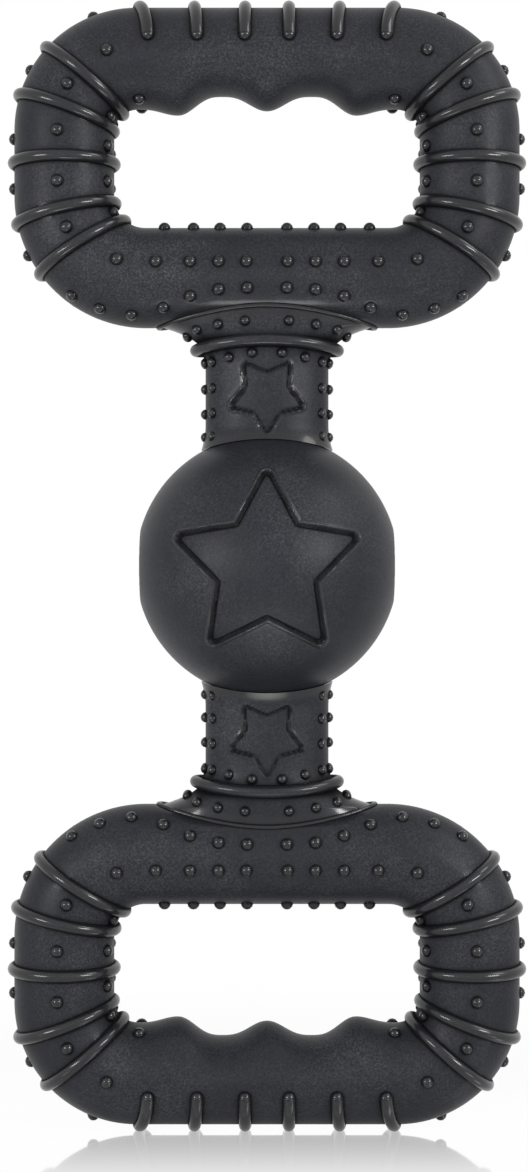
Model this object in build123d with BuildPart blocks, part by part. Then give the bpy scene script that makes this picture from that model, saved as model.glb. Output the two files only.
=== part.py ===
from build123d import *

import os
from math import acos, atan2, cos, degrees, radians, sin, sqrt

os.makedirs("parts", exist_ok=True)

# A rubber tug and chew toy: a hollow ball with a squeaker in its wall, between two looped handles.
# Each handle's stem passes through the ball's wall to a mushroom head, so the handle turns in the ball.
# Millimetres. +Z runs along the toy, its front faces -Y, and the origin is the ball's centre.

# Ball: two bonded half shells
ball_diameter = 67.6
ball_wall = 7.0
side_flat_diameter = 19.4
ball_star_radius = 25.3
ball_star_waist = 13.0
ball_star_rounding = 1.5
ball_star_depth = 1.0
tongue_width = 2.0
tongue_height = 1.5
tongue_clearance = 0.1
tongue_stop = 3.0

# Stem and mushroom head of a handle, inside the ball
stem_diameter = 16.0
stem_clearance = 0.08
head_diameter = 26.0
head_thickness = 6.0
head_rounding = 1.5
swivel_gap = 0.3

# Neck, with a star recess on its front and back
neck_length = 27.4
neck_width = 31.6
neck_depth = 21.0
neck_side_radius = 7.0
neck_root = 3.0
neck_star_radius = 10.0
neck_star_waist = 5.7
neck_star_rounding = 0.6
neck_star_depth = 0.7
neck_star_height = 9.2

# Collar, a bead round the top of the neck that rises at the front and back
collar_width = 39.6
collar_depth = 27.0
collar_thickness = 3.0
collar_rise = 2.1
collar_drop = 5.9
collar_rounding = 1.35

# Skirt, which spreads from the collar to the handle, and the thin bead round its edge
skirt_width = 55.6
skirt_depth = 20.0
skirt_foot_width = 34.0
skirt_foot_depth = 22.0
skirt_overlap = 0.4
saddle_bead_width = 1.3
saddle_bead_height = 0.5

# Handle: a round bar bent into a loop, measured on its centreline
bar_diameter = 25.6
loop_width = 104.2
loop_height = 56.4
neck_corner_radius = 21.0
grip_corner_radius = 18.75

# Finger grooves: how far the grip's underside hangs below its centreline at each hump and valley
finger_pitch = 22.4
centre_hump = 13.3
outer_hump = 14.4
finger_valley = 9.5
wave_steps = 4

# Ribs over the grip: distance from its middle, and how far each wraps to the front and back
rib_places = (5.6, 18.7, 32.9)
rib_width = 3.2
rib_wrap = 70

# Rings round each side of the loop: distance along it from the middle of the side, and lean
ring_places = ((-22.7, -7.0), (-13.0, 0.0), (0.0, 0.0), (13.0, -6.0), (22.7, 4.0))
ring_width = 3.0

# Rings and ribs have straight flanks from a root inside the bar to their brow, then a round crest
ridge_root = 2.0
ridge_brow = 0.2

# Nubs on the handle
nub_diameter = 3.2
nub_sink = 0.1

# Nub places: distance along the loop, and angle round the bar from its outer line towards the front
outer_angle, front_angle, inner_angle = 0, 87, 153
side_nubs = (-18.1, -6.4, 6.4, 18.1, 30.9)
inner_nubs = (-20.0, -5.4, 3.6, 16.0, 38.6)
neck_bar_nubs = ((5.2, 102), (12.2, 102), (19.4, 102), (28.0, 102), (38.7, 99))
saddle_nubs = ((5.0, 72), (12.2, 70), (19.4, 62), (26.2, 48))
inner_bar_nubs = ((5.1, 165), (12.0, 165), (18.8, 165), (26.2, 165))
outer_bar_nubs = ((33.3, 36), (38.8, 34), (44.0, 30))

# Small nubs: angle round the neck's front arc, its side arc or the skirt's oval, and height above the ball
small_nub_diameter = 2.6
small_nub_sink = 0.05
neck_row_nubs = ((11, 20.1), (29, 19.1))
neck_column_angles = (0, 35)
neck_column_nubs = (18.2, 11.5, 5.1, -0.8)
skirt_row_nubs = ((79, 28.2), (62, 27.4), (40, 26.3), (10, 25.2))

# Squeaker, in the wall behind the right-hand flat
pad_diameter = 25.0
pad_height = 4.3
flange_diameter = 20.0
flange_thickness = 2.0
cup_diameter = 16.0
cup_height = 8.0
cup_bore = 11.6
nozzle_diameter = 8.0
nozzle_inset = 0.4
vent_diameter = 3.2
air_slot_width = 2.0
air_slot_length = 7.0
air_slot_depth = 1.0
cap_diameter = 13.2
cap_thickness = 2.0
cap_hole_diameter = 2.0
cap_hole_count = 4
cap_hole_circle = 7.0
reed_length = 10.0
reed_width = 4.0
reed_thickness = 0.3
reed_gap = 0.05
reed_clamp_length = 0.8
reed_clamp_width = 3.0
reed_clamp_gap = 0.2
squeaker_clearance = 0.1

# Places worked out from the sizes
ball_radius = ball_diameter / 2
cavity_radius = ball_radius - ball_wall
flat_x = sqrt(ball_radius**2 - (side_flat_diameter / 2) ** 2)
stem_radius = stem_diameter / 2
bar_radius = bar_diameter / 2
bar_underside = ball_radius + neck_length
neck_bar_z = bar_underside + bar_radius
grip_bar_z = neck_bar_z + loop_height
half_loop_width = loop_width / 2
neck_bar_half = half_loop_width - neck_corner_radius
grip_half = half_loop_width - grip_corner_radius
side_straight = loop_height - neck_corner_radius - grip_corner_radius
collar_z = bar_underside - collar_drop
neck_half_width = neck_width / 2
neck_half_depth = neck_depth / 2
neck_foot_z = sqrt(ball_radius**2 - neck_half_width**2) - neck_root
neck_side_centre = neck_half_width - neck_side_radius
neck_front_radius = (neck_half_width**2 + neck_half_depth**2 - 2 * neck_half_width * neck_side_radius) / (
    2 * (neck_half_depth - neck_side_radius)
)
neck_front_centre = neck_front_radius - neck_half_depth
neck_star_z = ball_radius + neck_star_height
skirt_top = bar_underside + skirt_overlap
pad_face = cavity_radius - pad_height
cup_end = pad_face - cup_height


def oval(height, half_width, half_depth):
    with BuildSketch(Plane.XY.offset(height)) as outline:
        Ellipse(half_width, half_depth)
    return outline.sketch


def neck_oval(height, inset):
    # Four tangent arcs: tight ones at the sides, and broad ones at the front and back
    side_arc = degrees(atan2(neck_front_centre, neck_side_centre))
    front_arc = 180 - 2 * side_arc
    with BuildSketch(Plane.XY.offset(height)) as outline:
        with BuildLine():
            CenterArc((neck_side_centre, 0), neck_side_radius - inset, -side_arc, 2 * side_arc)
            CenterArc((0, -neck_front_centre), neck_front_radius - inset, side_arc, front_arc)
            CenterArc((-neck_side_centre, 0), neck_side_radius - inset, 180 - side_arc, 2 * side_arc)
            CenterArc((0, neck_front_centre), neck_front_radius - inset, 180 + side_arc, front_arc)
        make_face()
    return outline.sketch


def star(middle_z, radius, waist, rounding, point_angle):
    # Five-point star, seen from the front, with its tips rounded
    corners = []
    for corner in range(10):
        reach = waist if corner % 2 else radius
        angle = radians(point_angle + 36 * corner)
        corners.append((reach * cos(angle), reach * sin(angle)))
    with BuildSketch(Plane((0, 0, middle_z), x_dir=(1, 0, 0), z_dir=(0, -1, 0))) as outline:
        with BuildLine():
            Polyline(*corners, close=True)
        make_face()
        fillet(outline.vertices().group_by(SortBy.DISTANCE)[-1], rounding)
    return outline.sketch


# Right half of the loop's centreline, from the middle of the neck bar to the end of the grip
with BuildLine(Plane.XZ) as half_loop:
    neck_run = Line((0, neck_bar_z), (neck_bar_half, neck_bar_z))
    neck_bend = JernArc(neck_run @ 1, neck_run % 1, neck_corner_radius, 90)
    side_run = Line(neck_bend @ 1, (half_loop_width, grip_bar_z - grip_corner_radius))
    grip_bend = JernArc(side_run @ 1, side_run % 1, grip_corner_radius, 90)
with BuildLine(Plane.XZ) as half_grip:
    Line((grip_half, grip_bar_z), (0, grip_bar_z))
arm_line = half_loop.wire()
centreline = Wire([*half_loop.edges(), *half_grip.edges()])
side_middle = neck_bar_half + neck_bend.length + side_straight / 2


def across(distance):
    # Plane across the bar, a distance along the centreline, with its x axis away from the loop's middle
    point = centreline.position_at(distance, PositionMode.LENGTH)
    along = centreline.tangent_at(distance, PositionMode.LENGTH)
    return Plane(point, x_dir=along.cross(Vector(0, -1, 0)), z_dir=along)


def grip_section(x, hang):
    # The grip across at x: round above, and an oval that hangs by its own depth below
    with BuildSketch(Plane((x, 0, grip_bar_z), x_dir=(0, 1, 0), z_dir=(1, 0, 0))) as outline:
        with BuildLine():
            CenterArc((0, 0), bar_radius, 0, 90)
            CenterArc((0, 0), bar_radius, 90, 90)
            EllipticalCenterArc((0, 0), bar_radius, hang, 180, arc_size=90)
            EllipticalCenterArc((0, 0), bar_radius, hang, 270, arc_size=90)
        make_face()
    return outline.sketch


# Loop: both arms, and the grip with its finger grooves
grip_keys = (
    (0, centre_hump),
    (finger_pitch / 2, finger_valley),
    (finger_pitch, outer_hump),
    (grip_half, bar_radius),
)
grip_waves = [grip_section(0, centre_hump)]
for (near_x, near_hang), (far_x, far_hang) in zip(grip_keys, grip_keys[1:]):
    for step in range(1, wave_steps + 1):
        share = step / wave_steps
        x = near_x + (far_x - near_x) * share
        hang = near_hang + (far_hang - near_hang) * (1 - cos(radians(180 * share))) / 2
        grip_waves.insert(0, grip_section(-x, hang))
        grip_waves.append(grip_section(x, hang))
with BuildPart() as loop:
    with BuildSketch(across(0)):
        Circle(bar_radius)
    sweep(path=arm_line)
    mirror(about=Plane.YZ)
    loft(grip_waves)

# Rings and ribs run round the Z axis here, from the X axis, and are then set on the bar
root_radius = bar_radius - ridge_root
brow_radius = bar_radius + ridge_brow


def ridge(width, arc):
    with BuildPart() as bead:
        with BuildSketch(Plane.XZ):
            with BuildLine():
                flank = width / 2
                Polyline((brow_radius, flank), (root_radius, flank), (root_radius, -flank), (brow_radius, -flank))
                ThreePointArc((brow_radius, -flank), (brow_radius + flank, 0), (brow_radius, flank))
            make_face()
        revolve(axis=Axis.Z, revolution_arc=arc)
    return bead.part


with BuildPart() as rib:
    add(ridge(rib_width, 2 * rib_wrap))
    for end in (0, 2 * rib_wrap):
        outwards = Vector(1, 0, 0).rotate(Axis.Z, end)
        with BuildSketch(Plane(outwards * root_radius, z_dir=outwards)):
            Circle(rib_width / 2)
        extrude(amount=brow_radius - root_radius)
        with Locations(outwards * brow_radius):
            Sphere(rib_width / 2)
ring = ridge(ring_width, 360)

# Rings, ribs and nubs of the loop's right half
loop_nubs = [*neck_bar_nubs, *saddle_nubs, *inner_bar_nubs, *outer_bar_nubs]
loop_nubs += [(side_middle + place, angle) for place in side_nubs for angle in (outer_angle, front_angle)]
loop_nubs += [(side_middle + place, inner_angle) for place in inner_nubs]
nub_reach = bar_radius - nub_sink
with BuildPart() as loop_ridges:
    for place, lean in ring_places:
        with Locations(across(side_middle + place)):
            add(ring, rotation=(0, lean, 0))
    for place in rib_places:
        with Locations(across(centreline.length - place)):
            add(rib.part, rotation=(0, 0, -rib_wrap))
with BuildPart() as loop_nub_balls:
    for distance, angle in loop_nubs:
        front = (nub_reach * cos(radians(angle)), -nub_reach * sin(radians(angle)))
        back = (front[0], -front[1])
        with Locations(across(distance)):
            with Locations(*{front, back}):
                Sphere(nub_diameter / 2)


def skirt_size(height):
    # Half width and half depth of the skirt, which spreads faster as it rises
    share = (height - collar_z) / (skirt_top - collar_z)
    half_width = (skirt_foot_width + (skirt_width - skirt_foot_width) * share**2) / 2
    half_depth = (skirt_foot_depth + (skirt_depth - skirt_foot_depth) * share) / 2
    return half_width, half_depth


# Neck and skirt. The neck's foot is hollowed to clear the ball
with BuildPart() as neck:
    extrude(neck_oval(neck_foot_z, 0), amount=collar_z - neck_foot_z)
    Sphere(ball_radius + swivel_gap, mode=Mode.SUBTRACT)
    skirt_ovals = []
    for share in (0, 0.4, 0.7, 1):
        height = collar_z + (skirt_top - collar_z) * share
        skirt_ovals.append(oval(height, *skirt_size(height)))
    loft(skirt_ovals)
    extrude(oval(skirt_top, skirt_width / 2, skirt_depth / 2), amount=neck_bar_z - skirt_top)

with BuildPart() as saddle_bead:
    half_bead = saddle_bead_width / 2
    with BuildSketch(Plane.XY.offset(bar_underside - saddle_bead_height)):
        Ellipse(skirt_width / 2 + half_bead, skirt_depth / 2 + half_bead)
        Ellipse(skirt_width / 2 - half_bead, skirt_depth / 2 - half_bead, mode=Mode.SUBTRACT)
    extrude(amount=bar_radius)
    with BuildSketch(Plane.YZ):
        with Locations((0, neck_bar_z)):
            Circle(bar_radius + saddle_bead_height)
    extrude(amount=skirt_width, both=True, mode=Mode.INTERSECT)

with BuildPart() as collar:
    collar_sag = ((collar_depth / 2) ** 2 + collar_rise**2) / (2 * collar_rise)
    extrude(
        oval(collar_z - collar_thickness, collar_width / 2, collar_depth / 2),
        amount=2 * collar_thickness + collar_rise,
    )
    with BuildSketch(Plane.YZ):
        with Locations((0, collar_z + collar_sag)):
            Circle(collar_sag + collar_thickness / 2)
            Circle(collar_sag - collar_thickness / 2, mode=Mode.SUBTRACT)
    extrude(amount=collar_width, both=True, mode=Mode.INTERSECT)
    fillet(collar.edges(), collar_rounding)

# Stem and mushroom head, which hold the handle in the ball
head_crown = cavity_radius - swivel_gap
head_radius = head_diameter / 2
shoulder_z = sqrt(head_crown**2 - head_radius**2)
stem_foot_z = sqrt(head_crown**2 - stem_radius**2)
head_bottom_z = shoulder_z - head_thickness
with BuildPart() as stem:
    with BuildSketch(Plane.XZ):
        with BuildLine():
            Polyline((0, neck_star_z), (0, head_bottom_z), (head_radius, head_bottom_z), (head_radius, shoulder_z))
            shoulder_angle = degrees(acos(head_radius / head_crown))
            stem_angle = degrees(acos(stem_radius / head_crown))
            CenterArc((0, 0), head_crown, shoulder_angle, stem_angle - shoulder_angle)
            Polyline((stem_radius, stem_foot_z), (stem_radius, neck_star_z), (0, neck_star_z))
        make_face()
    revolve(axis=Axis.Z)
    fillet(stem.edges().group_by(Axis.Z)[0], head_rounding)

# Small nubs on the right of the neck and skirt
small_nubs = []
for angle, height in neck_row_nubs:
    reach = neck_front_radius - small_nub_sink
    x, y = reach * sin(radians(angle)), reach * cos(radians(angle)) - neck_front_centre
    small_nubs.append((x, y, ball_radius + height))
for angle in neck_column_angles:
    reach = neck_side_radius - small_nub_sink
    x, y = neck_side_centre + reach * cos(radians(angle)), reach * sin(radians(angle))
    small_nubs += [(x, y, ball_radius + height) for height in neck_column_nubs]
for angle, height in skirt_row_nubs:
    half_width, half_depth = skirt_size(ball_radius + height)
    x, y = half_width * cos(radians(angle)), half_depth * sin(radians(angle))
    small_nubs.append((x, y, ball_radius + height))
with BuildPart() as neck_nub_balls:
    for x, y, height in small_nubs:
        with Locations(*{(x, -y, height), (x, y, height)}):
            Sphere(small_nub_diameter / 2)

# One whole handle, before its stars are cut
with BuildPart() as handle:
    add([loop.part, neck.part, saddle_bead.part, collar.part, stem.part])
    for trim in (loop_ridges.part, loop_nub_balls.part, neck_nub_balls.part):
        add(trim)
        mirror(trim, about=Plane.YZ)

# The star recesses on the front and back of a neck, whose floors follow the neck
with BuildPart() as neck_stars:
    extrude(
        star(neck_star_z, neck_star_radius, neck_star_waist, neck_star_rounding, -90),
        amount=neck_depth,
        both=True,
    )
    extrude(neck_oval(0, neck_star_depth), amount=neck_bar_z, mode=Mode.SUBTRACT)

with BuildPart() as upper_handle:
    add(handle.part)
    add(neck_stars.part, mode=Mode.SUBTRACT)

# The lower handle is the same moulding the other way up, with stars that point down as well
with BuildPart() as lower_handle:
    mirror(handle.part, about=Plane.XY)
    with Locations((0, 0, -2 * neck_star_z)):
        add(neck_stars.part, mode=Mode.SUBTRACT)

# Ball, whole: wall, side flats, stem bores, squeaker pad with its seat and nozzle bore, and both stars
with BuildPart() as ball_stars:
    extrude(star(0, ball_star_radius, ball_star_waist, ball_star_rounding, 90), amount=ball_diameter, both=True)
    Sphere(ball_radius - ball_star_depth, mode=Mode.SUBTRACT)

with BuildPart() as ball:
    Sphere(ball_radius)
    Sphere(cavity_radius, mode=Mode.SUBTRACT)
    for side in (-1, 1):
        with Locations((side * (flat_x + ball_radius), 0, 0)):
            Box(2 * ball_radius, ball_diameter, ball_diameter, mode=Mode.SUBTRACT)
    Cylinder(stem_radius + stem_clearance, ball_diameter, mode=Mode.SUBTRACT)
    with BuildSketch(Plane.YZ.offset(pad_face)):
        Circle(pad_diameter / 2)
    extrude(amount=pad_height + ball_wall / 2)
    with Locations(Plane((pad_face, 0, 0), z_dir=(-1, 0, 0))):
        CounterBoreHole(
            radius=nozzle_diameter / 2 + squeaker_clearance,
            counter_bore_radius=flange_diameter / 2 + squeaker_clearance,
            counter_bore_depth=flange_thickness,
            depth=flat_x,
        )
    add(ball_stars.part, mode=Mode.SUBTRACT)


def tongue(clearance):
    # Seam tongue in the middle of the wall, which stops short of the stem bores and the side flats
    middle = (cavity_radius + ball_radius) / 2
    half_width = tongue_width / 2 + clearance
    with BuildPart() as seam:
        with BuildSketch(Plane.XZ):
            Circle(middle + half_width)
            Circle(middle - half_width, mode=Mode.SUBTRACT)
            Rectangle(stem_diameter + 2 * (tongue_stop - clearance), ball_diameter, mode=Mode.SUBTRACT)
            Rectangle(ball_diameter, side_flat_diameter + 2 * (tongue_stop - clearance), mode=Mode.SUBTRACT)
        extrude(amount=tongue_height + clearance)
    return seam.part


with BuildPart() as ball_front_shell:
    add(ball.part)
    split(bisect_by=Plane.XZ, keep=Keep.TOP)
    add(tongue(tongue_clearance), mode=Mode.SUBTRACT)

with BuildPart() as ball_rear_shell:
    add(ball.part)
    split(bisect_by=Plane.XZ, keep=Keep.BOTTOM)
    add(tongue(0))

# Squeaker: its cup opens into the ball, and air leaves through the slot under the reed and the nozzle
with BuildPart() as squeaker_housing:
    with BuildSketch(Plane.YZ.offset(cup_end)):
        Circle(cup_diameter / 2)
    extrude(amount=cup_height)
    with BuildSketch(Plane.YZ.offset(pad_face)):
        Circle(flange_diameter / 2)
    extrude(amount=flange_thickness)
    with BuildSketch(Plane.YZ.offset(pad_face)):
        Circle(nozzle_diameter / 2)
    extrude(amount=flat_x - nozzle_inset - pad_face)
    with BuildSketch(Plane.YZ.offset(cup_end)):
        Circle(cup_bore / 2)
    extrude(amount=cup_height, mode=Mode.SUBTRACT)
    with BuildSketch(Plane.YZ.offset(cup_end)):
        Circle(cap_diameter / 2 + squeaker_clearance)
    extrude(amount=cap_thickness, mode=Mode.SUBTRACT)
    with BuildSketch(Plane.YZ.offset(pad_face)):
        Rectangle(air_slot_width, air_slot_length)
    extrude(amount=air_slot_depth, mode=Mode.SUBTRACT)
    with BuildSketch(Plane.YZ.offset(pad_face)):
        Circle(vent_diameter / 2)
    extrude(amount=flat_x, mode=Mode.SUBTRACT)

# Reed: a strip that lies over the slot, with its root at the bottom
reed_face = pad_face - reed_gap
with BuildPart() as squeaker_reed:
    with BuildSketch(Plane.YZ.offset(reed_face)):
        Rectangle(reed_width, reed_length)
    extrude(amount=-reed_thickness)

with BuildPart() as squeaker_cap:
    with BuildSketch(Plane.YZ.offset(cup_end)):
        Circle(cap_diameter / 2)
        with PolarLocations(cap_hole_circle / 2, cap_hole_count):
            Circle(cap_hole_diameter / 2, mode=Mode.SUBTRACT)
    extrude(amount=cap_thickness)
    with BuildSketch(Plane.YZ.offset(cup_end + cap_thickness)):
        with Locations((0, (reed_clamp_length - reed_length) / 2)):
            Rectangle(reed_clamp_width, reed_clamp_length)
    extrude(amount=reed_face - reed_thickness - reed_clamp_gap - cup_end - cap_thickness)

pieces = {
    "upper_handle": upper_handle,
    "lower_handle": lower_handle,
    "ball_front_shell": ball_front_shell,
    "ball_rear_shell": ball_rear_shell,
    "squeaker_housing": squeaker_housing,
    "squeaker_cap": squeaker_cap,
    "squeaker_reed": squeaker_reed,
}
for name, piece in pieces.items():
    piece.part.label = name
    export_step(piece.part, f"parts/{name}.step")
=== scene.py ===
from math import atan2, cos, hypot, pi, radians, sin, sqrt

import bmesh
import bpy
from mathutils import Matrix, Vector


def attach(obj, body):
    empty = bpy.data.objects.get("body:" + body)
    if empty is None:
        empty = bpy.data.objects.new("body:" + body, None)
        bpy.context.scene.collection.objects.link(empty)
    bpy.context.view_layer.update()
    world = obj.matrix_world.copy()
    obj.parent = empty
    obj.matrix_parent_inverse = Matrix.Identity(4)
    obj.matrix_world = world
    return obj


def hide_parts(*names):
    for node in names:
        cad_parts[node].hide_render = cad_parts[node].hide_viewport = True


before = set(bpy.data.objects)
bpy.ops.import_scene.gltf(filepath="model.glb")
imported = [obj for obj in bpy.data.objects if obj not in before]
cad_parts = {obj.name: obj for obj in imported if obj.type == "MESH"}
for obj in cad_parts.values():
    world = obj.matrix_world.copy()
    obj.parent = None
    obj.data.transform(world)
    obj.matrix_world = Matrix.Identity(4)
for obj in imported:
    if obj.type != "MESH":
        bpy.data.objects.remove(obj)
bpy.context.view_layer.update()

# Rubber
# Both handles and the ball are the same matt black moulded rubber: a fine grain from the mould's
# blasted surface, a faint grey bloom in clouds, painted shade darkening the creases round each
# raised detail, darker colour on the details themselves, and a low polish there, where hands and teeth rub
# them.
RUBBER_BLACK = (0.0098, 0.0102, 0.013, 1)
BLOOM_GREY = (0.05, 0.051, 0.057, 1)
# Painted shade: the black that creases are coloured with, also mixed into the raised details
PAINTED_SHADE_BLACK = (0.0012, 0.0012, 0.0016, 1)

# Patterns: scale, detail and roughness
CLOUDS = (38.0, 4.0, 0.6)
SPECKLES = (1900.0, 3.0, 0.7)
GRAIN = (2600.0, 3.0, 0.65)
SWELL = (260.0, 2.0, 0.5)
CLOUD_RANGE = (0.36, 0.78)
SPECKLE_RANGE = (0.35, 0.8)
LEAST_BLOOM = 0.25
CLOUD_DULLING = 0.14
SPECKLE_DULLING = 0.12
GRAIN_SHARE = 0.6
GRAIN_STRENGTH = 0.5
GRAIN_DEPTH = 0.00016

# Creases are found by looking out of the rubber, and raised edges by looking into it
CREASE_REACH = 0.003
CREASE_RANGE = (0.55, 0.97)
EDGE_REACH = 0.0025
EDGE_RANGE = (0.5, 0.95)
OPENNESS_SAMPLES = 8
EDGE_DARKENING = 0.65
EDGE_POLISH = 0.6
POLISH_ROUGHNESS = 0.15
CREASE_ROUGHNESS = 0.8
OPEN_SMOOTHING = 0.52
RUBBER_SPECULAR = 0.13


class Socket:
    """A socket of a material's nodes, so that sums on it are written as plain expressions."""

    def __init__(self, tree, output=None):
        self.tree = tree
        self.output = output

    def node(self, kind, settings=None, inputs=None, output=0):
        new = self.tree.nodes.new(kind)
        for name, value in (settings or {}).items():
            setattr(new, name, value)
        for name, value in (inputs or {}).items():
            if isinstance(value, Socket):
                self.tree.links.new(value.output, new.inputs[name])
            else:
                new.inputs[name].default_value = value
        return Socket(self.tree, new.outputs[output]) if new.outputs else None

    def math(self, operation, first, second):
        return self.node("ShaderNodeMath", {"operation": operation}, {0: first, 1: second})

    def __add__(self, other):
        return self.math("ADD", self, other)

    def __mul__(self, other):
        return self.math("MULTIPLY", self, other)

    def __sub__(self, other):
        return self.math("SUBTRACT", self, other)

    def __rsub__(self, other):
        return self.math("SUBTRACT", other, self)

    __radd__ = __add__
    __rmul__ = __mul__


def new_material(name):
    material = bpy.data.materials.new(name)
    material.use_nodes = True
    tree = material.node_tree
    tree.nodes.clear()
    return material, Socket(tree)


def finish_material(shader, surface):
    shader.node("ShaderNodeOutputMaterial", None, {"Surface": surface})


def object_place(shader):
    return shader.node("ShaderNodeTexCoord", None, None, "Object")


def noise(shader, place, scale, detail, roughness):
    inputs = {"Vector": place, "Scale": scale, "Detail": detail, "Roughness": roughness}
    return shader.node("ShaderNodeTexNoise", None, inputs)


def ramp(shader, value, low, high):
    inputs = {"Value": value, "From Min": low, "From Max": high}
    return shader.node("ShaderNodeMapRange", {"interpolation_type": "SMOOTHSTEP"}, inputs)


def mix_colours(shader, share, first, second):
    inputs = {"Factor": share, "A": first, "B": second}
    return shader.node("ShaderNodeMix", {"data_type": "RGBA"}, inputs, "Result")


def bumps(shader, strength, depth, height):
    inputs = {"Strength": strength, "Distance": depth, "Height": height}
    return shader.node("ShaderNodeBump", None, inputs)


def openness(shader, reach, low, high, inside):
    # 0 where the same piece closes in within the reach, and 1 where it is open
    settings = {"samples": OPENNESS_SAMPLES, "only_local": True, "inside": inside}
    seen = shader.node("ShaderNodeAmbientOcclusion", settings, {"Distance": reach}, "AO")
    return ramp(shader, seen, low, high)


def black_rubber():
    material, shader = new_material("black_rubber")
    place = object_place(shader)
    cloud = noise(shader, place, *CLOUDS)
    speckle = noise(shader, place, *SPECKLES)
    grain = noise(shader, place, *GRAIN)
    swell = noise(shader, place, *SWELL)
    clouded = ramp(shader, cloud, *CLOUD_RANGE) * (1 - LEAST_BLOOM) + LEAST_BLOOM
    bloom = clouded * ramp(shader, speckle, *SPECKLE_RANGE)
    colour = mix_colours(shader, bloom, RUBBER_BLACK, BLOOM_GREY)
    # Painted shade: the colour turns black in creases, where occlusion finds rubber close by, and raised
    # details are darkened towards the same black
    opened = openness(shader, CREASE_REACH, *CREASE_RANGE, False)
    worn = 1 - openness(shader, EDGE_REACH, *EDGE_RANGE, True)
    colour = mix_colours(shader, opened * (1 - worn * EDGE_DARKENING), PAINTED_SHADE_BLACK, colour)
    dulling = cloud * CLOUD_DULLING + speckle * SPECKLE_DULLING
    height = grain * GRAIN_SHARE + swell * (1 - GRAIN_SHARE)
    inputs = {
        "Base Color": colour,
        "Roughness": CREASE_ROUGHNESS - opened * OPEN_SMOOTHING + dulling,
        "Specular IOR Level": RUBBER_SPECULAR,
        "Coat Weight": opened * worn * EDGE_POLISH,
        "Coat Roughness": POLISH_ROUGHNESS,
        "Normal": bumps(shader, GRAIN_STRENGTH, GRAIN_DEPTH, height),
    }
    finish_material(shader, shader.node("ShaderNodeBsdfPrincipled", None, inputs))
    return material


rubber = black_rubber()

# Ball
# Two hollow half shells of rubber, bonded on the plane y = 0, with flats on the left and right,
# a star sunk in the front and the back, and bores for the handles' stems and the squeaker's nozzle.
MILLIMETRE = 0.001
SHARP_ANGLE = radians(50)
WELD = 0.001
BALL_RADIUS = 33.8
CAVITY_RADIUS = 26.8
FLAT_X = 32.38
SEAM_CHAMFER = 0.18

# Star: reach of its tips, reach of its notches and rounding. Recess: depth, wall, groove and lip
BALL_STAR = (25.3, 13.0, 1.5)
BALL_STAR_RECESS = (1.05, 0.5, 0.25, 0.28)

# Groove and lip along a star's edge, in widths of its wall
GROOVE_END = 1.2
LIP_PLACE = 0.9
LIP_HALF = 0.4
SOFTNESS = 0.8

# Rings of faces from the front to the seam, close together as far as the star reaches, in degrees
SEAM_ANGLE = 90
STAR_REACH_ANGLE = 54
STAR_RINGS = 120
PLAIN_RINGS = 20
CAVITY_STEP = 6
BALL_STEPS = 480

# Squeaker's pad inside the wall, and its seat: places along x with the radii there
PAD_FACE = 22.5
PAD_RADIUS = 12.5
SEAT_PROFILE = ((20.5, 0), (20.5, 10.1), (24.5, 10.1), (24.5, 4.1), (50, 4.1), (50, 0))
SEAT_STEPS = 64
STEM_BORE = 8.08
STEM_BORE_SIDES = 96


def new_piece(bm, name, material):
    # Pieces are shaped in millimetres, closed, turned outwards and then brought to metres
    bmesh.ops.holes_fill(bm, edges=[edge for edge in bm.edges if edge.is_boundary], sides=0)
    bmesh.ops.recalc_face_normals(bm, faces=bm.faces)
    bmesh.ops.scale(bm, vec=(MILLIMETRE, MILLIMETRE, MILLIMETRE), verts=bm.verts)
    mesh = bpy.data.meshes.new(name)
    bm.to_mesh(mesh)
    bm.free()
    mesh.shade_smooth()
    mesh.set_sharp_from_angle(angle=SHARP_ANGLE)
    mesh.materials.append(material)
    piece = bpy.data.objects.new(name, mesh)
    bpy.context.scene.collection.objects.link(piece)
    return piece


def star_edge(x, up, reach, waist, rounding):
    # How far a point is outside a five-point star that points up and has rounded tips
    fifth = 2 * pi / 5
    half_tip = atan2(waist * sin(fifth / 2), reach - waist * cos(fifth / 2))
    shrink = 1 - rounding / (reach * sin(half_tip))
    tip = Vector((reach * shrink, 0))
    notch = Vector((waist * shrink * cos(fifth / 2), waist * shrink * sin(fifth / 2)))
    fold = abs((atan2(x, up) + fifth / 2) % fifth - fifth / 2)
    point = Vector((cos(fold), sin(fold))) * hypot(x, up) - tip
    edge = notch - tip
    share = min(max(point.dot(edge) / edge.length_squared, 0), 1)
    away = (point - edge * share).length
    return (away if edge.x * point.y < edge.y * point.x else -away) - rounding


def dip(edge, wall):
    # 0 outside a recess and 1 on its floor, with rounded shoulders on the wall between
    share = min(max(0.5 - edge / wall, 0), 1)
    return share * share * (3 - 2 * share)


def star_sink(edge, depth, wall, groove, lip):
    # How deep a star recess is: a rounded lip, the wall, a groove along its foot and the floor
    foot = groove * dip(-edge - GROOVE_END * wall, SOFTNESS * wall)
    rise = lip * dip(abs(edge - LIP_PLACE * wall) - LIP_HALF * wall, SOFTNESS * wall)
    return dip(edge, wall) * (depth + foot) - rise


def front_arc(radius, angles):
    # Points in the plane z = 0, at angles from the ball's foremost point
    return [Vector((radius * sin(radians(angle)), -radius * cos(radians(angle)), 0)) for angle in angles]


def spin_round(bm, points, axis, steps):
    # A line through points, spun all the way round an axis through the ball's centre
    corners = [bm.verts.new(point) for point in points]
    edges = [bm.edges.new(pair) for pair in zip(corners, corners[1:])]
    bmesh.ops.spin(
        bm, geom=corners + edges, cent=(0, 0, 0), axis=axis, angle=2 * pi, steps=steps, use_merge=True
    )
    bmesh.ops.remove_doubles(bm, verts=bm.verts, dist=WELD)


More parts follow.
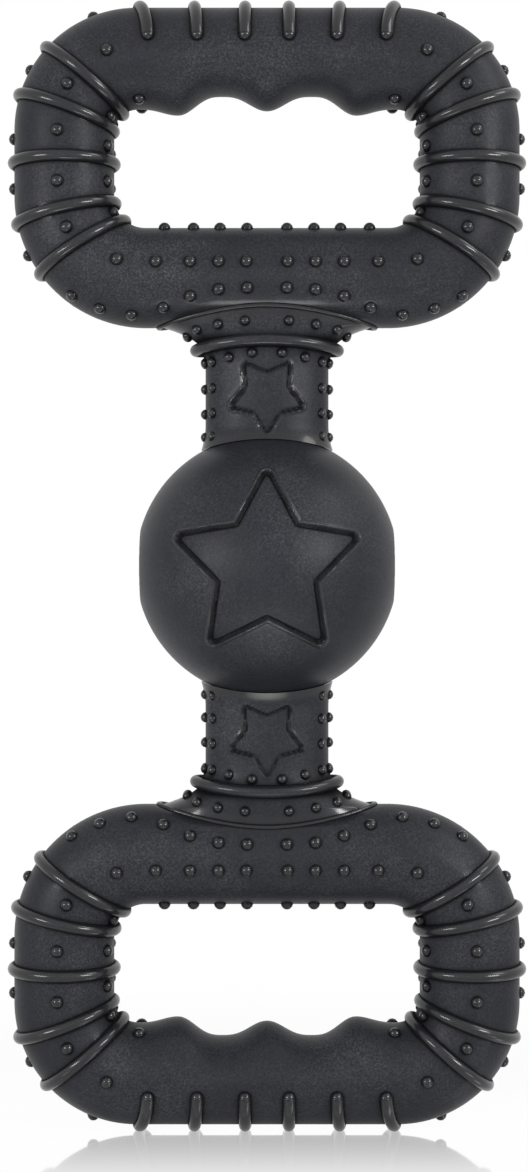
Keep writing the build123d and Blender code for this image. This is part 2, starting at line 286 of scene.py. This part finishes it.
def press_ball_details(bm):
    # The star and the flats outside, and the squeaker's pad inside
    for vert in bm.verts:
        if vert.co.length > (BALL_RADIUS + CAVITY_RADIUS) / 2:
            edge = star_edge(vert.co.x, vert.co.z, *BALL_STAR)
            vert.co *= 1 - star_sink(edge, *BALL_STAR_RECESS) / BALL_RADIUS
            vert.co.x = min(max(vert.co.x, -FLAT_X), FLAT_X)
        elif vert.co.x > 0 and hypot(vert.co.y, vert.co.z) < PAD_RADIUS:
            vert.co.x = PAD_FACE


def cut_bores(shell):
    # The squeaker's seat with its nozzle's bore, and one long bore for both stems
    bores = bmesh.new()
    spin_round(bores, [(x, 0, radius) for x, radius in SEAT_PROFILE], (1, 0, 0), SEAT_STEPS)
    bmesh.ops.create_cone(
        bores,
        segments=STEM_BORE_SIDES,
        radius1=STEM_BORE,
        radius2=STEM_BORE,
        depth=3 * BALL_RADIUS,
        cap_ends=True,
    )
    cutter = new_piece(bores, shell.name + "_bores", rubber)
    cut = shell.modifiers.new("bores", "BOOLEAN")
    cut.operation = "DIFFERENCE"
    cut.solver = "EXACT"
    cut.object = cutter
    bpy.context.view_layer.update()
    graph = bpy.context.evaluated_depsgraph_get()
    whole = bpy.data.meshes.new_from_object(shell.evaluated_get(graph))
    shell.modifiers.clear()
    whole.set_sharp_from_angle(angle=SHARP_ANGLE)
    shell.data = whole
    bpy.data.objects.remove(cutter)


def ball_shell(name):
    star_angles = [STAR_REACH_ANGLE * step / STAR_RINGS for step in range(STAR_RINGS)]
    plain_step = (SEAM_ANGLE - STAR_REACH_ANGLE) / PLAIN_RINGS
    plain_angles = [STAR_REACH_ANGLE + plain_step * step for step in range(PLAIN_RINGS)]
    seam = [Vector((BALL_RADIUS, -SEAM_CHAMFER, 0)), Vector((BALL_RADIUS - SEAM_CHAMFER, 0, 0))]
    outside = front_arc(BALL_RADIUS, star_angles + plain_angles) + seam
    inside = front_arc(CAVITY_RADIUS, range(SEAM_ANGLE, -1, -CAVITY_STEP))
    bm = bmesh.new()
    spin_round(bm, outside + inside, (0, 1, 0), BALL_STEPS)
    press_ball_details(bm)
    shell = new_piece(bm, name, rubber)
    cut_bores(shell)
    return shell


front_shell = ball_shell("ball_front_rubber")
rear_mesh = front_shell.data.copy()
rear_mesh.transform(Matrix.Scale(-1, 4, (0, 1, 0)))
rear_mesh.flip_normals()
rear_shell = bpy.data.objects.new("ball_rear_rubber", rear_mesh)
bpy.context.scene.collection.objects.link(rear_shell)
for shell, shell_node in ((front_shell, "ball_front_shell"), (rear_shell, "ball_rear_shell")):
    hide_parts(shell_node)
    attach(shell, "ball")

# Squeaker
# A moulded plastic cup in the ball's wall, its cap and a thin reed. Only the nozzle shows, flush
# in the right-hand flat. The pieces stay as the CAD has them, in a pale plastic with mould haze.
CUP_COLOUR = (0.6, 0.6, 0.56)
CUP_ROUGHNESS = 0.35
REED_COLOUR = (0.75, 0.75, 0.72)
REED_ROUGHNESS = 0.25
HAZE = (420.0, 3.0, 0.55)
HAZE_SHADE = 0.86
HAZE_DULLING = 0.2
MOULD_GRAIN = (3000.0, 2.0, 0.5)
MOULD_GRAIN_STRENGTH = 0.15
MOULD_GRAIN_DEPTH = 0.00005


def squeaker_plastic(name, tint, roughness):
    material, shader = new_material(name)
    place = object_place(shader)
    haze = noise(shader, place, *HAZE)
    shade = [channel * HAZE_SHADE for channel in tint]
    fine = noise(shader, place, *MOULD_GRAIN)
    inputs = {
        "Base Color": mix_colours(shader, haze, (*shade, 1), (*tint, 1)),
        "Roughness": haze * HAZE_DULLING + roughness,
        "Normal": bumps(shader, MOULD_GRAIN_STRENGTH, MOULD_GRAIN_DEPTH, fine),
    }
    finish_material(shader, shader.node("ShaderNodeBsdfPrincipled", None, inputs))
    return material


housing_plastic = squeaker_plastic("squeaker_plastic", CUP_COLOUR, CUP_ROUGHNESS)
reed_film = squeaker_plastic("reed_film", REED_COLOUR, REED_ROUGHNESS)
for node, plastic in (
    ("squeaker_housing", housing_plastic),
    ("squeaker_cap", housing_plastic),
    ("squeaker_reed", reed_film),
):
    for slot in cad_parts[node].material_slots:
        slot.material = plastic

# Handles
# Each is one rubber moulding: a round bar bent into a loop with finger grooves, on a skirt, a collar
# and an oval neck with star recesses, ending in a stem and a mushroom head inside the ball.
BAR_RADIUS = 12.8
NECK_BAR_Z = 74.0
NECK_BAR_HALF = 31.1
NECK_CORNER = 21.0
SIDE_STRAIGHT = 16.65
GRIP_CORNER = 18.75
GRIP_BAR_Z = NECK_BAR_Z + NECK_CORNER + SIDE_STRAIGHT + GRIP_CORNER
GRIP_HALF = NECK_BAR_HALF + NECK_CORNER - GRIP_CORNER

# Right half of the loop, from the neck bar's middle to the grip's: lengths, and radii of the bends
LOOP_RUNS = (
    (NECK_BAR_HALF, 0),
    (NECK_CORNER * pi / 2, NECK_CORNER),
    (SIDE_STRAIGHT, 0),
    (GRIP_CORNER * pi / 2, GRIP_CORNER),
    (GRIP_HALF, 0),
)
LOOP_LENGTH = sum(length for length, bend in LOOP_RUNS)
SIDE_MIDDLE = NECK_BAR_HALF + NECK_CORNER * pi / 2 + SIDE_STRAIGHT / 2
BAR_SIDES = 112
LOOP_STEPS = 150


def loop_frame(distance, lean=0):
    # Across the bar, a distance along the loop from the neck bar's middle: x outwards, y back, z along
    point, heading = Vector((0, 0, NECK_BAR_Z)), 0.0
    for length, bend in LOOP_RUNS:
        going = min(distance, length)
        ahead = Vector((cos(heading), 0, sin(heading)))
        inwards = Vector((-sin(heading), 0, cos(heading)))
        if bend:
            turn = going / bend
            point += ahead * bend * sin(turn) + inwards * bend * (1 - cos(turn))
            heading += turn
        else:
            point += ahead * going
        distance -= going
        if distance <= 0:
            break
    facing = Matrix.Rotation(pi / 2 - heading, 4, "Y")
    return Matrix.Translation(point) @ facing @ Matrix.Rotation(radians(lean), 4, "Y")


def grow(bm, edges):
    # One more ring of faces on an open edge loop: its new edges and corners
    new = bmesh.ops.extrude_edge_only(bm, edges=edges)["geom"]
    edges = [item for item in new if isinstance(item, bmesh.types.BMEdge)]
    return edges, [item for item in new if isinstance(item, bmesh.types.BMVert)]


def join(bm, part):
    mesh = bpy.data.meshes.new("part")
    part.to_mesh(mesh)
    part.free()
    bm.from_mesh(mesh)
    bpy.data.meshes.remove(mesh)


# Finger grooves: how far the grip hangs towards the hand, at distances from its middle
FINGER_WAVES = ((0, 13.3), (11.6, 9.5), (22.9, 14.4), (GRIP_HALF, BAR_RADIUS))
CREST = 1.5

# Finger scoop: how much the grooved side narrows from front to back, the middle of its fade along the
# grip, and the length of that fade. The margin is for rounding, where the bar's underside is picked out
FINGER_SCOOP = 0.1
SCOOP_END = 22
SCOOP_FADE = 16
BAR_MARGIN = 1


def hang(x):
    for (near, low), (far, high) in zip(FINGER_WAVES, FINGER_WAVES[1:]):
        if x <= far:
            rise = (1 - cos(pi * (x - near) / (far - near))) / 2
            if low > high:
                return high + (low - high) * (1 - rise) ** CREST
            return low + (high - low) * rise**CREST
    return BAR_RADIUS


def bend_bar(bm):
    # Right half of the loop, with its finger grooves pressed in
    start = loop_frame(0)
    bmesh.ops.create_circle(bm, segments=BAR_SIDES, radius=BAR_RADIUS, matrix=start)
    edges = bm.edges[:]
    for step in range(1, LOOP_STEPS + 1):
        here = loop_frame(LOOP_LENGTH * step / LOOP_STEPS)
        edges, corners = grow(bm, edges)
        bmesh.ops.transform(bm, matrix=here @ start.inverted(), verts=corners)
        start = here
    for vert in bm.verts:
        below = GRIP_BAR_Z - vert.co.z
        if vert.co.x < GRIP_HALF and 0 < below < BAR_RADIUS + BAR_MARGIN:
            flatten = FINGER_SCOOP * (below / BAR_RADIUS) * dip(vert.co.x - SCOOP_END, SCOOP_FADE)
            vert.co.y *= 1 - flatten
            vert.co.z = GRIP_BAR_Z - below * hang(vert.co.x) / BAR_RADIUS


# Rings: distance from the side's middle, and lean in degrees
CORD_SIDES = 16
RING_WIDTH = 3.0
RING_LIFT = 0.2
RING_RADIUS = BAR_RADIUS + RING_LIFT
RING_STEPS = 96
RING_PLACES = ((-22.7, -7.0), (-13.0, 0.0), (0.0, 0.0), (13.0, -6.0), (22.7, 4.0))

# Ribs: distance from the grip's middle, and lean towards it, which eases in from the outer line
RIB_WIDTH = 3.2
RIB_WRAP = 75
RIB_STEPS = 40
RIB_PLACES = ((5.6, 0.0), (18.7, 0.11), (32.9, 0.3))
RIB_EASE = 4.0


def cord_round(bm, across, width, turn, steps):
    # A round bead about the bar, as far before its outer line as after it
    cord = bmesh.new()
    start = across @ Matrix.Rotation(-turn / 2, 4, "Z") @ Matrix.Translation((RING_RADIUS, 0, 0))
    section = start @ Matrix.Rotation(pi / 2, 4, "X")
    bmesh.ops.create_circle(cord, segments=CORD_SIDES, radius=width / 2, matrix=section)
    bmesh.ops.spin(
        cord,
        geom=cord.verts[:] + cord.edges[:],
        cent=across.translation,
        axis=across.to_3x3().col[2],
        angle=turn,
        steps=steps,
        use_merge=turn == 2 * pi,
    )
    join(bm, cord)


# Round form of the nubs and of the ribs' ends, 1 mm wide
ROUND_SIDES = 12
ROUND_RINGS = 6
round_form = bmesh.new()
bmesh.ops.create_uvsphere(round_form, u_segments=ROUND_SIDES, v_segments=ROUND_RINGS, radius=0.5)
round_mesh = bpy.data.meshes.new("round_form")
round_form.to_mesh(round_mesh)
round_form.free()


def dome(bm, place, width):
    bm.from_mesh(round_mesh)
    bm.verts.ensure_lookup_table()
    for vert in bm.verts[-len(round_mesh.vertices):]:
        vert.co = vert.co * width + place


def round_bar(angle, reach):
    # From the bar's middle, at an angle from its outer line
    return Vector((cos(radians(angle)), sin(radians(angle)), 0)) * reach


def lay_ribs(bm):
    for place, lean in RIB_PLACES:
        rib = bmesh.new()
        across = loop_frame(LOOP_LENGTH - place)
        cord_round(rib, across, RIB_WIDTH, radians(2 * RIB_WRAP), RIB_STEPS)
        for end in (-RIB_WRAP, RIB_WRAP):
            dome(rib, across @ round_bar(end, RING_RADIUS), RIB_WIDTH)
        for vert in rib.verts:
            vert.co.x -= lean * (hypot(vert.co.y, RIB_EASE) - RIB_EASE)
        join(bm, rib)


# Neck: half width and half depth, with a small flare at the foot and under the collar
NECK_SIZE = (15.8, 10.5)
NECK_SIDES = 256
SEAT_CLEARANCE = 0.3
SEAT_RADIUS = BALL_RADIUS + SEAT_CLEARANCE
SEAT_RINGS = 5
FOOT_FLARE = 1.1
FOOT_TOP = 36.0
FOOT_RINGS = 8
NECK_TOP = 50.0
NECK_RINGS = 56
COLLAR_Z = 55.3
COLLAR_FLARE = 1.2
NECK_STAR = (10.5, 5.9, 0.9)
NECK_STAR_Z = 43.4
NECK_STAR_RECESS = (0.7, 0.5, 0.2, 0.25)

# Skirt: half width and half depth where it meets the bar, and how far it goes on inside the bar
SKIRT_TOP = 61.6
SKIRT_SIZE = (27.8, 10.0)
SKIRT_RINGS = 12
SKIRT_INSIDE = 4.8
SKIRT_CAP = 6
SKIRT_CAP_INSET = 2

# Mushroom head and stem inside the ball: radii and heights
HEAD_SIZES = ((11.5, 17.1), (12.6, 17.5), (13.0, 18.6), (13.0, 23.1), (10.6, 24.29), (8.0, 25.26))
STEM_RADIUS = 8.0
STEM_TOP = 33.15


def neck_size(height):
    # Half width and half depth at a height, up to the skirt's top
    flare = max(height - NECK_TOP, 0) / (COLLAR_Z - NECK_TOP)
    share = max(height - COLLAR_Z, 0) / (SKIRT_TOP - COLLAR_Z)
    wide = NECK_SIZE[0] + COLLAR_FLARE * min(flare, 1) ** 2
    deep = NECK_SIZE[1] + COLLAR_FLARE / 2 * min(flare, 1) ** 2
    return wide + (SKIRT_SIZE[0] - wide) * share**2, deep + (SKIRT_SIZE[1] - deep) * share


def neck_stations():
    # Half width, half depth, height, and how much of the height follows the ball
    stations = [(radius, radius, height, 0) for radius, height in HEAD_SIZES]
    stations.append((STEM_RADIUS, STEM_RADIUS, STEM_TOP, 0))
    spread = [reach + FOOT_FLARE - STEM_RADIUS for reach in NECK_SIZE]
    for step in range(1, SEAT_RINGS + 1):
        size = [STEM_RADIUS + reach * step / SEAT_RINGS for reach in spread]
        stations.append((*size, STEM_TOP, 1))
    for step in range(1, FOOT_RINGS + 1):
        left = 1 - step / FOOT_RINGS
        size = [reach + FOOT_FLARE * left**2 for reach in NECK_SIZE]
        stations.append((*size, FOOT_TOP, left))
    for first, last, steps in ((FOOT_TOP, COLLAR_Z, NECK_RINGS), (COLLAR_Z, SKIRT_TOP, SKIRT_RINGS)):
        for step in range(1, steps + 1):
            height = first + (last - first) * step / steps
            stations.append((*neck_size(height), height, 0))
    stations.append((*SKIRT_SIZE, SKIRT_TOP + SKIRT_INSIDE, 0))
    stations.append((*[size - SKIRT_CAP_INSET for size in SKIRT_SIZE], SKIRT_TOP + SKIRT_CAP, 0))
    return stations


def raise_neck(bm, star_up):
    # From the mushroom head up to the skirt, with a star that points up, 1, or down, -1
    neck = bmesh.new()
    stations = neck_stations()
    wide, deep, height, follow = stations[0]
    foot = Matrix.Translation((0, 0, height))
    bmesh.ops.create_circle(neck, segments=NECK_SIDES, radius=wide, matrix=foot)
    edges = neck.edges[:]
    skin = []
    for new_wide, new_deep, height, follow in stations[1:]:
        edges, corners = grow(neck, edges)
        for vert in corners:
            vert.co.x *= new_wide / wide
            vert.co.y *= new_deep / deep
            seat = sqrt(SEAT_RADIUS**2 - vert.co.x**2 - vert.co.y**2) if follow else 0
            vert.co.z = seat * follow + height * (1 - follow)
        if height >= FOOT_TOP:
            skin += corners
        wide, deep = new_wide, new_deep
    for vert in skin:
        edge = star_edge(vert.co.x, star_up * (vert.co.z - NECK_STAR_Z), *NECK_STAR)
        outwards = Vector((vert.co.x / NECK_SIZE[0] ** 2, vert.co.y / NECK_SIZE[1] ** 2, 0)).normalized()
        vert.co -= outwards * star_sink(edge, *NECK_STAR_RECESS)
    join(bm, neck)


# Collar and saddle bead: round beads laid about the neck and along the skirt's join with the bar
COLLAR_PATH = (18.3, 12.0)
COLLAR_RISE = 0.0115
COLLAR_BEAD = 1.5
SADDLE_BEAD = 0.65
BEAD_STEPS = 160
TANGENT_STEP = 0.01


def collar_line(angle):
    x, y = COLLAR_PATH[0] * cos(angle), COLLAR_PATH[1] * sin(angle)
    return Vector((x, y, COLLAR_Z + COLLAR_RISE * y * y))


def saddle_line(angle):
    x, y = SKIRT_SIZE[0] * cos(angle), SKIRT_SIZE[1] * sin(angle)
    return Vector((x, y, NECK_BAR_Z - sqrt(BAR_RADIUS**2 - y * y)))


def lay_bead(bm, line, radius):
    frames = []
    for step in range(BEAD_STEPS):
        angle = 2 * pi * step / BEAD_STEPS
        ahead = (line(angle + TANGENT_STEP) - line(angle - TANGENT_STEP)).normalized()
        side = ahead.cross(Vector((0, 0, 1))).normalized()
        turned = Matrix((side, ahead.cross(side), ahead)).transposed().to_4x4()
        frames.append(Matrix.Translation(line(angle)) @ turned)
    bead = bmesh.new()
    bmesh.ops.create_circle(bead, segments=CORD_SIDES, radius=radius, matrix=frames[0])
    edges = bead.edges[:]
    for here, there in zip(frames, frames[1:] + frames[:1]):
        edges, corners = grow(bead, edges)
        bmesh.ops.transform(bead, matrix=there @ here.inverted(), verts=corners)
    join(bm, bead)


# Rows of nubs on the bar: distance along the loop, and angle from its outer line towards the front
NUB_WIDTH = 3.2
NUB_SINK = 0.1
NUB_REACH = BAR_RADIUS - NUB_SINK
FRONT_ROW = ((5.2, 102), (12.2, 102), (19.4, 102), (28.0, 102), (38.7, 99))
SADDLE_ROW = ((5.0, 72), (12.2, 70), (19.4, 62), (26.2, 48))
OPENING_ROW = ((5.1, 165), (12.0, 165), (18.8, 165), (26.2, 165))
CORNER_ROW = ((33.3, 36), (38.8, 34), (44.0, 30))

# Nubs among the rings, by their distance from the side's middle: outer line and front, and the inside
SIDE_NUBS = (-18.1, -6.4, 6.4, 18.1, 30.9)
SIDE_ANGLES = (0, 87)
INNER_NUBS = (-20.0, -5.4, 3.6, 16.0, 38.6)
INNER_ANGLE = 153
SIDE_ROWS = tuple((SIDE_MIDDLE + along, angle) for along in SIDE_NUBS for angle in SIDE_ANGLES)
INNER_ROW = tuple((SIDE_MIDDLE + along, INNER_ANGLE) for along in INNER_NUBS)
BAR_NUBS = FRONT_ROW + SADDLE_ROW + OPENING_ROW + CORNER_ROW + SIDE_ROWS + INNER_ROW

# Small nubs: across from the neck's middle and height on the front, and angle and height on the skirt
SMALL_NUB_WIDTH = 2.6
NECK_TOP_NUBS = ((3.78, 53.9), (9.6, 52.9))
NECK_SIDE_PLACES = (13.9, 15.75)
NECK_SIDE_HEIGHTS = (52.0, 45.3, 38.9, 33.0)
NECK_SIDE_NUBS = tuple((x, height) for x in NECK_SIDE_PLACES for height in NECK_SIDE_HEIGHTS)
SKIRT_NUBS = ((79, 62.0), (62, 61.2), (40, 60.1), (10, 59.0))


def stud_nubs(bm, facing):
    # Nubs of the front, -1, or of the back, 1. Those on the bar's outer line come with the front
    for along, angle in BAR_NUBS:
        if angle or facing < 0:
            dome(bm, loop_frame(along) @ round_bar(facing * angle, NUB_REACH), NUB_WIDTH)
    for x, height in NECK_TOP_NUBS + NECK_SIDE_NUBS:
        wide, deep = neck_size(height)
        y = facing * deep * sqrt(1 - (x / wide) ** 2)
        dome(bm, Vector((x, y, height)), SMALL_NUB_WIDTH)
    for angle, height in SKIRT_NUBS:
        wide, deep = neck_size(height)
        x, y = wide * cos(radians(angle)), facing * deep * sin(radians(angle))
        dome(bm, Vector((x, y, height)), SMALL_NUB_WIDTH)


def shape_loop():
    # Everything but the neck, first the right half and then its mirror image
    bm = bmesh.new()
    bend_bar(bm)
    for along, lean in RING_PLACES:
        cord_round(bm, loop_frame(SIDE_MIDDLE + along, lean), RING_WIDTH, 2 * pi, RING_STEPS)
    lay_ribs(bm)
    for facing in (-1, 1):
        stud_nubs(bm, facing)
    bmesh.ops.mirror(bm, geom=bm.verts[:] + bm.edges[:] + bm.faces[:], axis="X", merge_dist=WELD)
    lay_bead(bm, collar_line, COLLAR_BEAD)
    lay_bead(bm, saddle_line, SADDLE_BEAD)
    return bm


LOOP_WELD = 0.002
loop = shape_loop()
for handle_name, handle_node, side in (
    ("upper_handle_rubber", "upper_handle", 1),
    ("lower_handle_rubber", "lower_handle", -1),
):
    bm = loop.copy()
    raise_neck(bm, -side)
    bmesh.ops.remove_doubles(bm, verts=bm.verts, dist=LOOP_WELD)
    bmesh.ops.scale(bm, vec=(1, 1, side), verts=bm.verts)
    handle = new_piece(bm, handle_name, rubber)
    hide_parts(handle_node)
    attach(handle, handle_node)
loop.free()
bpy.data.meshes.remove(round_mesh)

# Studio
# The toy stands on end on a polished white floor that fades into a white room, before a soft key
# beside the camera, with wide lamps left and right, one above and a small card low in front.
FLOOR_Z = -0.145
FLOOR_HALF = 3.0
WHITE = (1, 1, 1, 1)
FLOOR_WHITE = (0.94, 0.94, 0.94, 1)
FLOOR_SHADE = (0.9, 0.9, 0.9, 1)
FLOOR_MARBLE = (6.0, 2.0, 0.5)
UNSEEN_FLOOR = (0.3, 0.3, 0.3, 1)
FLOOR_POLISH = 0.06

# How white the floor is near the toy, and at which distances from the ball's centre it turns pure white
NEAR_GLOW = 0.93
GLOW_RANGE = (0.16, 0.26)

# Share of mirror in the floor, and the places in front of and behind the toy between which it fades
MIRROR_SHARE = 0.54
MIRROR_FRONT = (-0.075, 0.004)
MIRROR_BACK = (0.02, 0.08)
ROOM_LIGHT = 0.1


def seen_rays(shader):
    # 1 for what the camera sees, straight, in a gloss or through glass, and 0 for light on the toy
    kinds = ("Is Camera Ray", "Is Glossy Ray", "Is Transmission Ray")
    looked_at, mirrored, through = [shader.node("ShaderNodeLightPath", None, None, kind) for kind in kinds]
    return shader.math("MINIMUM", looked_at + mirrored + through, 1.0)


def mix_surfaces(shader, share, first, second):
    return shader.node("ShaderNodeMixShader", None, {0: share, 1: first, 2: second})


def polished_floor():
    material, shader = new_material("polished_floor")
    place = object_place(shader)
    depth = shader.node("ShaderNodeSeparateXYZ", None, {"Vector": place}, "Y")
    fade = ramp(shader, depth, *MIRROR_FRONT) * (1 - ramp(shader, depth, *MIRROR_BACK))
    away = shader.node("ShaderNodeVectorMath", {"operation": "LENGTH"}, {0: place}, "Value")
    marble = noise(shader, place, *FLOOR_MARBLE)
    white = mix_colours(shader, marble, FLOOR_SHADE, FLOOR_WHITE)
    matt = shader.node("ShaderNodeBsdfDiffuse", None, {"Color": white})
    dim = shader.node("ShaderNodeBsdfDiffuse", None, {"Color": UNSEEN_FLOOR})
    shown = seen_rays(shader)
    surface = mix_surfaces(shader, shown, dim, matt)
    glow = shader.node("ShaderNodeEmission", None, {"Color": WHITE, "Strength": 1.0})
    bright = (ramp(shader, away, *GLOW_RANGE) * (1 - NEAR_GLOW) + NEAR_GLOW) * shown
    lit = mix_surfaces(shader, bright, surface, glow)
    mirror = shader.node("ShaderNodeBsdfGlossy", None, {"Color": WHITE, "Roughness": FLOOR_POLISH})
    finish_material(shader, mix_surfaces(shader, fade * MIRROR_SHARE, lit, mirror))
    return material


bm = bmesh.new()
ground = Matrix.Translation((0, 0, FLOOR_Z))
bmesh.ops.create_grid(bm, x_segments=2, y_segments=2, size=FLOOR_HALF, matrix=ground)
floor_mesh = bpy.data.meshes.new("floor")
bm.to_mesh(floor_mesh)
bm.free()
floor_mesh.materials.append(polished_floor())
floor = bpy.data.objects.new("floor", floor_mesh)
bpy.context.scene.collection.objects.link(floor)

# Lamps, in metres and watts. The key doesn't glint in the rubber, and the card's light is narrow
TOY_CENTRE = (0, 0, 0)
CARD_SPREAD = radians(60)


def softbox(name, place, aim, size, watts, glint=True):
    lamp = bpy.data.lights.new(name, "AREA")
    lamp.shape = "RECTANGLE"
    lamp.size, lamp.size_y = size
    lamp.energy = watts
    light = bpy.data.objects.new(name, lamp)
    light.location = place
    light.rotation_euler = (Vector(aim) - Vector(place)).to_track_quat("-Z", "Y").to_euler()
    light.visible_camera = False
    light.visible_glossy = glint
    bpy.context.scene.collection.objects.link(light)
    return lamp


softbox("left_lamp", place=(-0.56, -0.52, 0.1), aim=TOY_CENTRE, size=(0.3, 0.09), watts=2.6)
softbox("right_lamp", place=(0.56, -0.5, 0.18), aim=TOY_CENTRE, size=(0.3, 0.12), watts=3.4)
softbox("upper_softbox", place=(0.6, -0.15, 0.55), aim=TOY_CENTRE, size=(0.3, 0.3), watts=1.6)
card = softbox("floor_card", place=(0, -0.1, -0.14), aim=(0, -0.03, 0), size=(0.14, 0.06), watts=0.022)
card.spread = CARD_SPREAD
softbox(
    "key_softbox", place=(-0.14, -0.64, 0.06), aim=(0, 0, 0.04), size=(0.3, 0.3), watts=5.6, glint=False
)

room = bpy.data.worlds.new("white_room")
room.use_nodes = True
room.node_tree.nodes.clear()
shader = Socket(room.node_tree)
strength = seen_rays(shader) * (1 - ROOM_LIGHT) + ROOM_LIGHT
background = shader.node("ShaderNodeBackground", None, {"Color": WHITE, "Strength": strength})
shader.node("ShaderNodeOutputWorld", None, {"Surface": background})
bpy.context.scene.world = room

# Camera: level with the ball, with the frame moved by a few of the photograph's pixels
CAMERA_DISTANCE = 0.566
LENS = 67.6
SENSOR_HEIGHT = 36.0
PHOTO_HEIGHT_PIXELS = 1172
SHIFT_RIGHT_PIXELS = -2.5
SHIFT_UP_PIXELS = -20

lens = bpy.data.cameras.new("photo_camera")
lens.sensor_fit = "VERTICAL"
lens.sensor_height = SENSOR_HEIGHT
lens.lens = LENS
lens.shift_x = SHIFT_RIGHT_PIXELS / PHOTO_HEIGHT_PIXELS
lens.shift_y = SHIFT_UP_PIXELS / PHOTO_HEIGHT_PIXELS
camera = bpy.data.objects.new("photo_camera", lens)
camera.location = (0, -CAMERA_DISTANCE, 0)
camera.rotation_euler = (pi / 2, 0, 0)
bpy.context.scene.collection.objects.link(camera)
bpy.context.scene.camera = camera
bpy.context.scene.view_settings.view_transform = "Standard"
